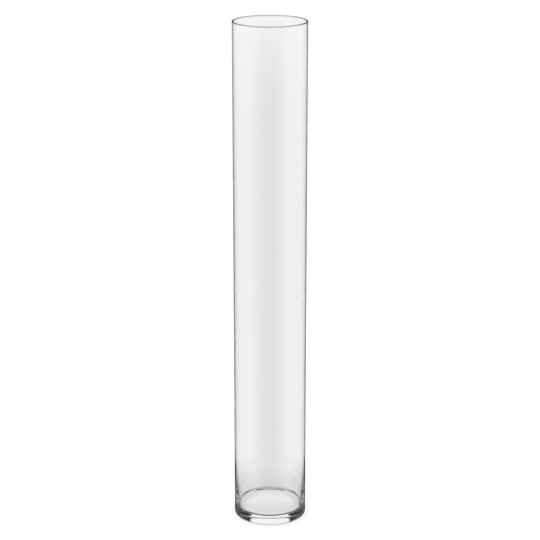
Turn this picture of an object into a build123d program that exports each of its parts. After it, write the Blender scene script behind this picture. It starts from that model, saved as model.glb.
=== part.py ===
from build123d import *

import os

# Tall clear glass cylinder vase, blown in one piece.
#
# The outside is a plain upright cylinder with a rounded heel. It stands on a flat ring, inside which the
# underside is pushed up a little, so that the vase doesn't rock. The inside is a straight bore that
# narrows gently over the lowest part, where the glass gathers, and ends in a slightly crowned floor.
# The lip is melted to a full round.
#
# Millimetres, +Z up along the axis, origin on the axis in the plane that the vase stands on.

# Driving dimensions
HEIGHT = 711.0
OUTER_DIAMETER = 101.6
WALL = 2.0  # along the straight bore, and at the lip
BORE_FOOT_HEIGHT = 90.0  # where the straight bore ends and the wall begins to thicken
FLOOR_WALL = 5.4  # wall at the floor's corner, before the corner is rounded
BASE_THICKNESS = 11.5  # at the floor's corner
FLOOR_CROWN = 0.6  # the floor's centre above its edge
CORNER_RADIUS = 6.0  # inside, between wall and floor
HEEL_RADIUS = 3.0  # outside, between wall and standing ring
RING_EDGE_RADIUS = 100.0  # between the standing ring and the pushed-up middle
STANDING_RING_WIDTH = 8.0  # before its inner edge is rounded
PUSH_UP = 1.2  # height of the underside's centre above the standing ring

# Worked out from them
OUTER_RADIUS = OUTER_DIAMETER / 2
BORE_RADIUS = OUTER_RADIUS - WALL
LIP_RADIUS = WALL / 2
LIP_START = HEIGHT - LIP_RADIUS
FLOOR_RADIUS = OUTER_RADIUS - FLOOR_WALL
RING_OUTER_RADIUS = OUTER_RADIUS - HEEL_RADIUS
RING_INNER_RADIUS = RING_OUTER_RADIUS - STANDING_RING_WIDTH

LEVEL = (1, 0)  # outline directions, as (radius, height)
DOWN = (0, -1)


def outside_line():
    """The outline from the underside's centre, over the heel and up to the lip."""
    underside = TangentArc((0, PUSH_UP), (RING_INNER_RADIUS, 0), tangent=LEVEL)
    ring = Line((RING_INNER_RADIUS, 0), (OUTER_RADIUS, 0))
    wall = Line((OUTER_RADIUS, 0), (OUTER_RADIUS, LIP_START))
    return [underside, ring, wall]


def lip_line():
    """The half circle that closes the wall's top."""
    return [
        ThreePointArc(
            (OUTER_RADIUS, LIP_START),
            (OUTER_RADIUS - LIP_RADIUS, HEIGHT),
            (BORE_RADIUS, LIP_START),
        )
    ]


def inside_line():
    """The outline from the lip, down the bore and its thickened foot, and in along the floor."""
    bore = Line((BORE_RADIUS, LIP_START), (BORE_RADIUS, BORE_FOOT_HEIGHT))
    foot = TangentArc(
        (BORE_RADIUS, BORE_FOOT_HEIGHT), (FLOOR_RADIUS, BASE_THICKNESS), tangent=DOWN
    )
    floor_centre = (0, BASE_THICKNESS + FLOOR_CROWN)
    floor = TangentArc(floor_centre, (FLOOR_RADIUS, BASE_THICKNESS), tangent=LEVEL)
    axis = Line(floor_centre, (0, PUSH_UP))
    return [bore, foot, floor, axis]


def round_corner(section, corner, radius):
    """Rounds the section's corner at a point given as (radius, height)."""
    nearest = section.vertices().sort_by_distance(corner)[0]
    fillet(nearest, radius)


def wall_section():
    """Half of the vase's section, in the XZ plane, with its corners rounded."""
    with BuildSketch(Plane.XZ) as section:
        with BuildLine():
            outside_line()
            lip_line()
            inside_line()
        make_face()
        round_corner(section, (RING_INNER_RADIUS, 0), RING_EDGE_RADIUS)
        round_corner(section, (OUTER_RADIUS, 0), HEEL_RADIUS)
        round_corner(section, (FLOOR_RADIUS, BASE_THICKNESS), CORNER_RADIUS)
    return section.sketch


def vase_body():
    """The whole vase: one solid of glass."""
    return revolve(wall_section(), axis=Axis.Z, revolution_arc=360)


os.makedirs("parts", exist_ok=True)
body = vase_body()
export_step(body, "parts/vase_body.step")
print("vase_body", "valid", body.is_valid, "volume", round(body.volume), "mm3")
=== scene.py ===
# %% [markdown]
# # A clear glass cylinder vase
# The real vase is one piece of clear glass: a long parallel wall with a melted lip on top and a thick
# rounded base below. It has no joints and nothing is hidden in it, so the lesson has three parts: drawing
# one good outline and turning it, making glass, and lighting it so that clear glass can be seen at all.
# Everything is in metres, with Z up along the vase's axis and the table at Z = 0.
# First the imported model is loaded. It is the fixed frame that this scene has to fit, so its box is kept.

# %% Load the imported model, which is the fixed frame
import math

import bmesh
import bpy
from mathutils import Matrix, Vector


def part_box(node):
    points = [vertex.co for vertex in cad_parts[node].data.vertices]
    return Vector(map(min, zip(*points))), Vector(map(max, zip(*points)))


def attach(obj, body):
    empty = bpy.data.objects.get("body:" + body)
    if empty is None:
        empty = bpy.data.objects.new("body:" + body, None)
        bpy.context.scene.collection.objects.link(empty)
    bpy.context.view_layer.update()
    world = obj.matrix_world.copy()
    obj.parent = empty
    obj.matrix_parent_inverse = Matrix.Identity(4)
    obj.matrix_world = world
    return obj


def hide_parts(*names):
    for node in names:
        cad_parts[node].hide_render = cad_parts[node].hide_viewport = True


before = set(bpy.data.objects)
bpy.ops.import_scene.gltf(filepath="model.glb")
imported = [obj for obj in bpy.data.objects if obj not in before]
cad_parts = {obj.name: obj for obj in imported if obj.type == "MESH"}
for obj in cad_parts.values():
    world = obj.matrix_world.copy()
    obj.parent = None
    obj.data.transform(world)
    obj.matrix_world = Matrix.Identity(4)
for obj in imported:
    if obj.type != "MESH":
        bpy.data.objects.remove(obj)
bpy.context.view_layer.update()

lowest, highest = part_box("vase_body")
print("vase box, mm:", [round(1000 * side, 1) for side in highest - lowest])

# %% [markdown]
# ## The sizes
# The outer radius and the height come from the CAD piece itself, so that the new piece can't outgrow it.
# The CAD mesh is made of flat facets and can be a hair narrower one way than the other, so the smaller
# half width is taken. The rest are the glass blower's own sizes: how thick the wall is, where it starts to
# thicken, how thick the base is and how round each corner is.

# %% Sizes of the vase
outer_radius = min(highest.x - lowest.x, highest.y - lowest.y) / 2
height = highest.z

wall = 0.0020
bore_radius = outer_radius - wall
lip_radius = wall / 2
lip_start = height - lip_radius

bore_foot = 0.090  # where the straight bore ends and the wall begins to thicken
floor_radius = outer_radius - 0.0054
floor_height = 0.0115
floor_crown = 0.0006
corner_radius = 0.0060

heel_radius = 0.0030
ring_outer_radius = outer_radius - heel_radius
ring_inner_radius = ring_outer_radius - 0.0080
push_up = 0.0012

# how finely the round stretches are drawn
round_steps = 14  # quarter and half circles of a few millimetres
dome_steps = 12
lean_steps = 12
crown_steps = 6
ring_corner_steps = 8
wall_steps = 7
bore_steps = 6
turn_steps = 256
weld_distance = 1e-6
print("bore and floor radius, mm:", round(1000 * bore_radius, 2), round(1000 * floor_radius, 2))

# %% [markdown]
# ## The outline
# A vase is a turned shape, so only half of its section has to be drawn. Points could be typed in one by
# one, but then the arcs would be tables of numbers that nobody can change. Here the outline is grown from
# one point, the way a pencil moves: `line_to` extrudes the last point, which leaves a straight edge, and
# `arc_about` spins it about a centre, which leaves an arc of short edges. Both are the same tools as
# Extrude and Spin in the editor.

# %% Tools that draw an outline in the XZ plane
def line_to(outline, last, radius, z):
    """Extrudes the last point to a new place."""
    new = bmesh.ops.extrude_vert_indiv(outline, verts=[last])["verts"][0]
    bmesh.ops.translate(outline, verts=[new], vec=Vector((radius, 0, z)) - new.co)
    return new


def upright_to(outline, last, z, steps):
    """Extrudes the last point straight up or down in equal steps."""
    start = last.co.copy()
    for step in range(1, steps + 1):
        last = line_to(outline, last, start.x, start.z + (z - start.z) * step / steps)
    return last


def arc_about(outline, last, centre, degrees, steps):
    """Spins the last point about a centre (radius, z). Positive degrees turn it anticlockwise."""
    turned = bmesh.ops.spin(
        outline,
        geom=[last],
        cent=(centre[0], 0, centre[1]),
        axis=(0, -1, 0),
        angle=math.radians(degrees),
        steps=steps,
    )
    return next(item for item in turned["geom_last"] if isinstance(item, bmesh.types.BMVert))


def level_arc(rise, run):
    """Radius and angle, in degrees, of an arc that leaves level and climbs by rise over run."""
    radius = (run**2 + rise**2) / (2 * rise)
    return radius, math.degrees(math.asin(run / radius))


# %% [markdown]
# The outline starts under the base, in the middle. The underside is pushed up a little, as a blower does
# so that a vase stands on a ring and doesn't rock. Then come the flat ring, the heel, the wall and the lip.
# A lip that has been melted in a flame draws itself into a full round, so it is a half circle.
# Smooth shading blends between points, so a long straight edge gets one extra point close to each end.
# Without it the lip's roundness would be smeared down the whole wall.

# %% Draw the outside, from the middle of the underside up over the lip
outline = bmesh.new()
near_end = 0.0015  # how far from an arc the extra point sits
ring_corner_offset = 0.0030  # how much of each side the ring's rounded inner edge takes

dome_radius, dome_angle = level_arc(push_up, ring_inner_radius)
pen = bmesh.ops.create_vert(outline, co=(0, 0, push_up))["vert"][0]
pen = arc_about(outline, pen, (0, push_up - dome_radius), -dome_angle, dome_steps)
ring_corner = pen

pen = line_to(outline, pen, ring_inner_radius + ring_corner_offset + near_end / 2, 0)
pen = line_to(outline, pen, ring_outer_radius - near_end, 0)
pen = line_to(outline, pen, ring_outer_radius, 0)
pen = arc_about(outline, pen, (ring_outer_radius, heel_radius), 90, round_steps)

pen = line_to(outline, pen, outer_radius, heel_radius + near_end)
pen = upright_to(outline, pen, lip_start - near_end, wall_steps)
pen = line_to(outline, pen, outer_radius, lip_start)
pen = arc_about(outline, pen, (outer_radius - lip_radius, lip_start), 180, round_steps)
print("outside points:", len(outline.verts))

# %% [markdown]
# Inside, the bore runs straight down. Near the foot it leans in on one very long arc, because hot glass
# sinks and gathers there while the vase is blown, and it ends in a floor that is crowned a little.
# The arcs are drawn in steps longer than the corner that will be cut from them.

# %% Draw the inside, from the lip down the bore and across the floor
pen = line_to(outline, pen, bore_radius, lip_start - near_end)
pen = upright_to(outline, pen, bore_foot + near_end, bore_steps)
pen = line_to(outline, pen, bore_radius, bore_foot)

lean_radius, lean_angle = level_arc(bore_radius - floor_radius, bore_foot - floor_height)
pen = arc_about(outline, pen, (bore_radius - lean_radius, bore_foot), -lean_angle, lean_steps)
floor_corner = pen

crown_radius, crown_angle = level_arc(floor_crown, floor_radius)
crown_centre = (0, floor_height + floor_crown - crown_radius)
pen = arc_about(outline, pen, crown_centre, crown_angle, crown_steps)
print("outline points:", len(outline.verts))

# %% [markdown]
# Two corners are still sharp: the one between the wall and the floor, and the faint one where the pushed-up
# middle meets the standing ring. No corner of blown glass is sharp, and every corner bends the light, so
# both are rounded with a vertex bevel. On an outline it does what a fillet does in CAD.

# %% Round the two corners of the outline
for corner, offset, segments in (
    (floor_corner, corner_radius, round_steps),
    (ring_corner, ring_corner_offset, ring_corner_steps),
):
    bmesh.ops.bevel(
        outline,
        geom=[corner],
        offset=offset,
        offset_type="OFFSET",
        affect="VERTICES",
        segments=segments,
        profile=0.5,
        material=-1,
    )
print("points after rounding:", len(outline.verts))

# %% [markdown]
# ## Turning the outline
# A full spin with `use_merge` joins the last copy to the first. The first and last points of the outline
# lie on the axis, where every copy falls on the same spot, so doubles are merged there and each pole
# becomes a fan of triangles. Then the normals are recalculated, because a spin can leave a shape inside
# out, and glass whose normals point inwards bends light the wrong way. The mesh has to be closed, or
# Cycles would not know where the glass begins and ends.

# %% Spin the outline once round
bmesh.ops.spin(
    outline,
    geom=outline.verts[:] + outline.edges[:],
    cent=(0, 0, 0),
    axis=(0, 0, 1),
    angle=math.tau,
    steps=turn_steps,
    use_merge=True,
)
bmesh.ops.remove_doubles(outline, verts=outline.verts, dist=weld_distance)
bmesh.ops.recalc_face_normals(outline, faces=outline.faces)
for face in outline.faces:
    face.smooth = True

open_edges = [edge for edge in outline.edges if not edge.is_manifold]
print("faces:", len(outline.faces), "open edges:", len(open_edges))
print("glass, cm3:", round(1e6 * outline.calc_volume(signed=True), 1))

# %% [markdown]
# The finished mesh becomes one object. It stands at the origin, unturned and unscaled, where the CAD body
# stands. It rides on the model's only body and replaces the CAD piece in pictures.

# %% Make the piece, and let it stand for the CAD body
glass_mesh = bpy.data.meshes.new("vase_glass")
outline.to_mesh(glass_mesh)
outline.free()
vase_glass = bpy.data.objects.new("vase_glass", glass_mesh)
bpy.context.collection.objects.link(vase_glass)
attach(vase_glass, "root")
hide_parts("vase_body")
print("the piece stands at:", list(vase_glass.location))

# %% [markdown]
# ## Small tools for nodes
# The glass and the studio are both built from nodes, and most of those nodes only do sums. A few helpers
# keep the cells below short enough to read as formulas. Each one takes plain numbers or other nodes'
# outputs.

# %% Node helpers
def add_node(tree, kind, **settings):
    """Adds a node and sets its options."""
    node = tree.nodes.new(kind)
    for name, value in settings.items():
        setattr(node, name, value)
    return node


def feed(tree, socket, value):
    """Links an output to a socket, or sets a plain value on it."""
    if isinstance(value, bpy.types.NodeSocket):
        tree.links.new(value, socket)
    else:
        socket.default_value = value


def calculate(tree, operation, first, second=0.0):
    """One sum of one or two values."""
    node = add_node(tree, "ShaderNodeMath", operation=operation)
    feed(tree, node.inputs[0], first)
    feed(tree, node.inputs[1], second)
    return node.outputs[0]


def fade(tree, value, low, high, shape="SMOOTHSTEP"):
    """0 below low, 1 above high, and a smooth or LINEAR change between them."""
    node = add_node(tree, "ShaderNodeMapRange", interpolation_type=shape, clamp=True)
    feed(tree, node.inputs["Value"], value)
    feed(tree, node.inputs["From Min"], low)
    feed(tree, node.inputs["From Max"], high)
    return node.outputs[0]


def blend(tree, factor, at_zero, at_one):
    """at_zero where the factor is 0, at_one where it is 1."""
    node = add_node(tree, "ShaderNodeMix", data_type="FLOAT")
    feed(tree, node.inputs["Factor"], factor)
    feed(tree, node.inputs["A"], at_zero)
    feed(tree, node.inputs["B"], at_one)
    return node.outputs["Result"]


def opposite(tree, value):
    """1 minus the value."""
    return calculate(tree, "SUBTRACT", 1.0, value)


def blend_colour(tree, factor, at_zero, at_one):
    """The same for colours. The Mix node has its colour sockets at 6 and 7, and their result at 2."""
    node = add_node(tree, "ShaderNodeMix", data_type="RGBA")
    feed(tree, node.inputs[0], factor)
    feed(tree, node.inputs[6], at_zero)
    feed(tree, node.inputs[7], at_one)
    return node.outputs[2]


def noise(tree, place, scale, detail=2.0):
    """A noise pattern on a place."""
    node = add_node(tree, "ShaderNodeTexNoise")
    feed(tree, node.inputs["Vector"], place)
    node.inputs["Scale"].default_value = scale
    node.inputs["Detail"].default_value = detail
    return node.outputs[0]


def grey(value):
    """A grey colour of one value."""
    return (value, value, value, 1.0)


# %% [markdown]
# ## The glass
# Clear soda-lime glass could be a Glass BSDF, but a Principled BSDF with full transmission looks the same
# and also survives an export. Its index of refraction is 1.52, set on the shader's own socket.
# Clear glass still has a few things to see on it, and each is a small node group below:
# the lip, which looks greyer than the rest because of the light it mirrors, shown as painted shade in the
# glass colour;
# the faint upright ripples that blowing and drawing leave in the wall;
# the standing ring, dulled by tables; and the slight green of iron in the sand, seen only in thick glass.

# %% The plain glass shader
glass_bending = 1.52

glass = bpy.data.materials.new("clear_glass")
glass.use_nodes = True
glass_tree = glass.node_tree
shader = glass_tree.nodes["Principled BSDF"]
shader.inputs["IOR"].default_value = glass_bending
shader.inputs["Transmission Weight"].default_value = 1.0
glass_mesh.materials.append(glass)

place = add_node(glass_tree, "ShaderNodeTexCoord").outputs["Object"]
place_split = add_node(glass_tree, "ShaderNodeSeparateXYZ")
feed(glass_tree, place_split.inputs[0], place)
up_the_vase = place_split.outputs["Z"]
print("glass shader, index of refraction:", glass_bending)

# %% [markdown]
# The lip's painted shade fades in over the last two millimetres of the wall. It depends on the height
# alone, so one
# Map Range on the Object coordinate's Z is all the mask that it needs. A real lip has no tint: it is grey
# because of what it mirrors. This grey in the glass colour is painted shade, the short way to the same
# look.

# %% Painted shade on the lip
painted_shade_starts = height - 0.0022
painted_shade_is_full = height - 0.0008
clear = (1.0, 1.0, 1.0, 1.0)
lip_painted_shade = (0.57, 0.59, 0.58, 1.0)

# Painted shade: a grey in the glass colour stands in for the light that the real lip mirrors away.
painted_lip_shade_mask = fade(glass_tree, up_the_vase, painted_shade_starts, painted_shade_is_full)
feed(glass_tree, shader.inputs["Base Color"], blend_colour(glass_tree, painted_lip_shade_mask, clear, lip_painted_shade))
print("lip tint, mm high:", round(1000 * (height - painted_shade_starts), 1))

# %% [markdown]
# The ripples are a noise that is stretched along the vase: narrow around it and long up and down, like the
# real draw lines. A Mapping node does the stretching. The bump is so weak that it hardly moves the light,
# as in good glass.

# %% Faint draw lines in the wall
ripples_per_metre = 45.0
ripple_stretch = 0.06
ripple_depth = 0.0004
ripple_strength = 0.10

stretch = add_node(glass_tree, "ShaderNodeMapping")
feed(glass_tree, stretch.inputs["Vector"], place)
stretch.inputs["Scale"].default_value = (1.0, 1.0, ripple_stretch)
ripples = noise(glass_tree, stretch.outputs[0], ripples_per_metre, detail=1.0)
draw_lines = add_node(glass_tree, "ShaderNodeBump")
draw_lines.inputs["Strength"].default_value = ripple_strength
draw_lines.inputs["Distance"].default_value = ripple_depth
feed(glass_tree, draw_lines.inputs["Height"], ripples)
feed(glass_tree, shader.inputs["Normal"], draw_lines.outputs[0])
print("ripples, mm apart:", round(1000 / ripples_per_metre))

# %% [markdown]
# The standing ring is the only place that touches the table, so it is the only place that gets scratched.
# The mask is a band of height: the ring is the lowest tenth of a millimetre, and the pushed-up middle is
# out of reach. A fine noise breaks it up, so that it looks scuffed and not frosted.

# %% A scuffed standing ring
ring_mask_low, ring_mask_high = 0.00003, 0.00015
scuffs_per_metre = 900.0
scuff_threshold_low, scuff_threshold_high = 0.5, 0.7
scuff_roughness = 0.12

on_ring = opposite(glass_tree, fade(glass_tree, up_the_vase, ring_mask_low, ring_mask_high))
scuffs = noise(glass_tree, place, scuffs_per_metre)
scuffs = fade(glass_tree, scuffs, scuff_threshold_low, scuff_threshold_high)
scuffed_ring = calculate(glass_tree, "MULTIPLY", on_ring, scuffs)
roughness = calculate(glass_tree, "MULTIPLY", scuffed_ring, scuff_roughness)
feed(glass_tree, shader.inputs["Roughness"], roughness)
print("roughest scuff:", scuff_roughness)

# %% [markdown]
# The green comes from the depth of the glass and not from its surface, so it is a Volume Absorption. Its
# colour and density are plain values, which an export can keep. In a wall of 2 mm it can't be seen.

# %% The slight green of thick glass
iron_green = (0.72, 0.90, 0.84, 1.0)
green_density = 1.0

absorption = add_node(glass_tree, "ShaderNodeVolumeAbsorption")
absorption.inputs["Color"].default_value = iron_green
absorption.inputs["Density"].default_value = green_density
material_output = glass_tree.nodes["Material Output"]
feed(glass_tree, material_output.inputs["Volume"], absorption.outputs[0])
print("nodes in the glass:", len(glass_tree.nodes))

# %% [markdown]
# ## The studio
# Clear glass shows nothing of its own. What is seen is the room, bent and mirrored, so glass is lit by
# choosing what each part of it looks at. White card behind and below makes the body pale. Black card
# beside the background draws the two dark edges. Tall windows light up the thick base.
# Real cards could be modelled, but from another side they would stand in the way. Here the world itself is
# the room: it knows the direction of each ray, and how often the ray has crossed or been mirrored in
# glass, and it answers with a brightness. No real room can do that, so this is stage lighting and not a
# model of a room. First come the two angles of each ray: its elevation, and how far it is off the back.

# %% The world, and the direction of each ray in degrees
world = bpy.data.worlds.new("studio")
bpy.context.scene.world = world
world.use_nodes = True
room = world.node_tree
room.nodes.clear()

direction = add_node(room, "ShaderNodeSeparateXYZ")
feed(room, direction.inputs[0], add_node(room, "ShaderNodeTexCoord").outputs["Generated"])
x, y, z = direction.outputs
in_degrees = math.degrees(1)
half_turn = 180.0
elevation = calculate(room, "MULTIPLY", calculate(room, "ARCSINE", z), in_degrees)
turn = calculate(room, "ARCTAN2", x, y)
off_back = calculate(room, "MULTIPLY", calculate(room, "ABSOLUTE", turn), in_degrees)
off_front = calculate(room, "SUBTRACT", half_turn, off_back)
print("nodes that measure the direction:", len(room.nodes))

# %% [markdown]
# The Light Path node counts. Its Glossy Depth is how often the ray was mirrored, and its Transmission Depth
# is how many surfaces it crossed. A ray that crossed exactly two was inside one wall. Halves are used as
# limits because the counts are whole numbers.

# %% What the ray has been through
rising_low, rising_high = 8.0, 14.0

light_path = add_node(room, "ShaderNodeLightPath").outputs
mirrored = calculate(room, "GREATER_THAN", light_path["Glossy Depth"], 0.5)
mirrored_again = calculate(room, "GREATER_THAN", light_path["Glossy Depth"], 1.5)
stayed_outside = calculate(room, "LESS_THAN", light_path["Transmission Depth"], 0.5)
crossed = calculate(room, "GREATER_THAN", light_path["Transmission Depth"], 1.5)
crossed_more = calculate(room, "GREATER_THAN", light_path["Transmission Depth"], 2.5)
inside_wall = calculate(room, "SUBTRACT", crossed, crossed_more)
going_up = fade(room, elevation, rising_low, rising_high)
print("a ray goes up from, degrees:", rising_high)

# %% [markdown]
# Most rays go straight through both walls and see the background card or the table. The card is nearly
# white. The table is a shade darker, more so close to the vase, and darkest where the rounded corner of
# the floor bends the view steeply down. Right under the vase it is light again, for a view from above.

# %% Seen straight through the glass
card_level = 0.96
table_level = 0.88
near_table_level = 0.76
steep_table_level = 0.48
under_vase_level = 0.85
horizon_low, horizon_high, horizon_curve = -13.0, -8.3, 2.5
near_low, near_high = -28.4, -25.8
steep_low, steep_high = -55.0, -36.0
under_low, under_high = -80.0, -60.0

far_card = fade(room, elevation, horizon_low, horizon_high, "LINEAR")
far_card = calculate(room, "POWER", far_card, horizon_curve)
table = blend(room, far_card, table_level, card_level)
table = blend(room, fade(room, elevation, near_low, near_high, "LINEAR"), near_table_level, table)
table = blend(room, fade(room, elevation, steep_low, steep_high, "LINEAR"), steep_table_level, table)
seen_through = blend(room, fade(room, elevation, under_low, under_high), under_vase_level, table)
print("card and table levels:", card_level, table_level)

# %% [markdown]
# The outside of the wall mirrors the room as well. The side that the camera stands on is dark, which lays
# a soft grey band down the middle of the vase. At the very edge the mirror sees past the background card,
# and the black card there keeps the outline crisp. Round the foot the mirror is dark, and a ray that was
# inside the vase arrives there at a steeper angle than one that stayed outside.

# %% Seen in the mirror of the wall
light_level = 1.15
dark_front_width = 80.0
foot_mirror_level = 0.10
foot_outside_low, foot_outside_high = -25.0, -24.4
foot_inside_low, foot_inside_high = -30.0, -28.0
card_edge_low, card_edge_high = 27.0, 36.0
past_card_level = 0.05

dark_front = opposite(room, fade(room, off_front, 0.0, dark_front_width))
dark_front = calculate(room, "MULTIPLY", dark_front, opposite(room, far_card))
mirror = calculate(room, "MULTIPLY", opposite(room, dark_front), light_level)
above_foot_outside = fade(room, elevation, foot_outside_low, foot_outside_high)
above_foot_inside = fade(room, elevation, foot_inside_low, foot_inside_high)
above_foot = blend(room, stayed_outside, above_foot_inside, above_foot_outside)
mirror = calculate(room, "MULTIPLY", mirror, blend(room, above_foot, foot_mirror_level, 1.0))
past_card = opposite(room, fade(room, off_back, card_edge_low, card_edge_high))
past_card = calculate(room, "MULTIPLY", past_card, stayed_outside)
seen_in_mirror = blend(room, past_card, mirror, past_card_level)
print("dark front, degrees to each side:", dark_front_width)

# %% [markdown]
# A ray that meets the wall at a slant is mirrored once between its two faces and leaves sideways. These
# rays are the two dark lines that draw the vase, about as wide as the wall is thick. They see black card,
# a little lighter near the horizon and straight below.

# %% Seen from inside the wall, along the edges
black_level = 0.03
black_level_at_horizon = 0.20
black_level_below = 0.10
black_horizon_low, black_horizon_high = -15.0, -9.0
black_below_low, black_below_high = -45.0, -35.0

near_horizon = fade(room, elevation, black_horizon_low, black_horizon_high)
black_card = blend(room, near_horizon, black_level, black_level_at_horizon)
not_below = fade(room, elevation, black_below_low, black_below_high)
black_card = blend(room, not_below, black_level_below, black_card)
print("black card levels:", black_level, black_level_at_horizon)

# %% [markdown]
# In the thick base the light is mirrored several times between floor and underside, and leaves upwards.
# Three tall windows, a third of a turn apart, make the middle of the base shine and leave both ends dark.

# %% Seen from inside the base
third = 120.0
window_edge_low, window_edge_high = 23.0, 27.0
window_level = 1.0

window_turn = calculate(room, "MODULO", calculate(room, "ADD", off_back, third / 2), third)
off_window = calculate(room, "ABSOLUTE", calculate(room, "SUBTRACT", window_turn, third / 2))
between_windows = blend(room, going_up, black_card, black_level)
beside_window = fade(room, off_window, window_edge_low, window_edge_high)
seen_in_base = blend(room, beside_window, window_level, between_windows)
print("windows:", round(360 / third))

# %% [markdown]
# Now the answers are sorted by what the ray went through. The camera itself sees a white background, and
# rays that left the table see a slightly brighter room, which keeps the table white.

# %% Put the room together
background_level = 1.0

mirrored_once = blend(room, inside_wall, seen_in_mirror, black_card)
mirrored_once = blend(room, going_up, mirrored_once, seen_in_base)
mirrored_level = blend(room, mirrored_again, mirrored_once, seen_in_base)
glass_level = blend(room, mirrored, seen_through, mirrored_level)
level = blend(room, light_path["Is Camera Ray"], glass_level, background_level)
level = blend(room, light_path["Is Diffuse Ray"], level, light_level)

background = add_node(room, "ShaderNodeBackground")
background.inputs["Color"].default_value = grey(1.0)
feed(room, background.inputs["Strength"], level)
world_output = add_node(room, "ShaderNodeOutputWorld")
feed(room, world_output.inputs["Surface"], background.outputs[0])
print("nodes in the studio:", len(room.nodes))

# %% [markdown]
# ## The table
# The table is a plain sheet of pale card, much larger than the view, so that its edge never shows. The
# glass doesn't see it: the world above already says how bright the table looks through the vase. Clear
# glass on a lit table has next to no shadow, so the vase is left out of the table's shadows too.

# %% A pale table
table_half_side = 20.0

table_mesh = bpy.data.meshes.new("table")
sheet = bmesh.new()
bmesh.ops.create_grid(sheet, x_segments=1, y_segments=1, size=table_half_side)
sheet.to_mesh(table_mesh)
sheet.free()
pale_table = bpy.data.objects.new("table", table_mesh)
bpy.context.collection.objects.link(pale_table)
pale_table.visible_transmission = False
pale_table.visible_glossy = False
vase_glass.visible_shadow = False
print("table, m wide:", 2 * table_half_side)

# %% [markdown]
# Card is matt, so its shader has full roughness and no gloss. Its fibres make it a hair darker and lighter
# from place to place, which a fine noise between two near whites can show.

# %% The card's fibres
fibres_per_metre = 400.0
dark_fibre, pale_fibre = grey(0.88), grey(0.92)

card = bpy.data.materials.new("pale_card")
card.use_nodes = True
card_tree = card.node_tree
card_shader = card_tree.nodes["Principled BSDF"]
card_shader.inputs["Roughness"].default_value = 1.0
card_shader.inputs["Specular IOR Level"].default_value = 0.0
on_card = add_node(card_tree, "ShaderNodeTexCoord").outputs["Object"]
fibres = noise(card_tree, on_card, fibres_per_metre)
feed(card_tree, card_shader.inputs["Base Color"], blend_colour(card_tree, fibres, dark_fibre, pale_fibre))
table_mesh.materials.append(card)
print("fibres, mm apart:", 1000 / fibres_per_metre)

# %% [markdown]
# One large soft light hangs overhead. It is there for the table alone: a light that showed in the glass
# would put a hard white disc on the wall and the floor of the vase.

# %% A softbox overhead, which only lights the table
softbox_width = 3.0
softbox_height = 3.0
softbox_watts = 25.0

softbox_light = bpy.data.lights.new("softbox", "AREA")
softbox_light.shape = "DISK"
softbox_light.size = softbox_width
softbox_light.energy = softbox_watts
softbox = bpy.data.objects.new("softbox", softbox_light)
softbox.location = (0, 0, softbox_height)
softbox.visible_camera = False
softbox.visible_glossy = False
softbox.visible_transmission = False
bpy.context.collection.objects.link(softbox)
print("softbox, m wide and high:", softbox_width, softbox_height)

# %% [markdown]
# ## The camera
# It stands well back, 22 vase widths away, and looks down into the mouth at a slant, so the rings at the
# top and bottom open by different amounts. A long lens fills the frame with the vase.

# %% The camera
camera_distance = 22 * 2 * outer_radius
eye_height = 1.0627
aim_height = 0.3648
sensor_mm, lens_mm = 36.0, 112.6

camera_data = bpy.data.cameras.new("camera")
camera_data.sensor_width = sensor_mm
camera_data.lens = lens_mm
camera = bpy.data.objects.new("camera", camera_data)
camera.location = (0, -camera_distance, eye_height)
looking_down = math.atan2(eye_height - aim_height, camera_distance)
camera.rotation_euler = (math.pi / 2 - looking_down, 0, 0)
bpy.context.collection.objects.link(camera)
print("looking down by, degrees:", round(math.degrees(looking_down), 2))

# %% [markdown]
# Light bounces many times inside the base before it gets out. With the usual limits those rays are given
# up and drawn black, so the limits are raised. Standard colours keep the white background white.

# %% Bounces and colours
most_bounces = 32
most_mirror_bounces = 16

scene = bpy.context.scene
scene.camera = camera
scene.view_settings.view_transform = "Standard"
scene.cycles.max_bounces = most_bounces
scene.cycles.transmission_bounces = most_bounces
scene.cycles.glossy_bounces = most_mirror_bounces
print("bounces allowed:", most_bounces)
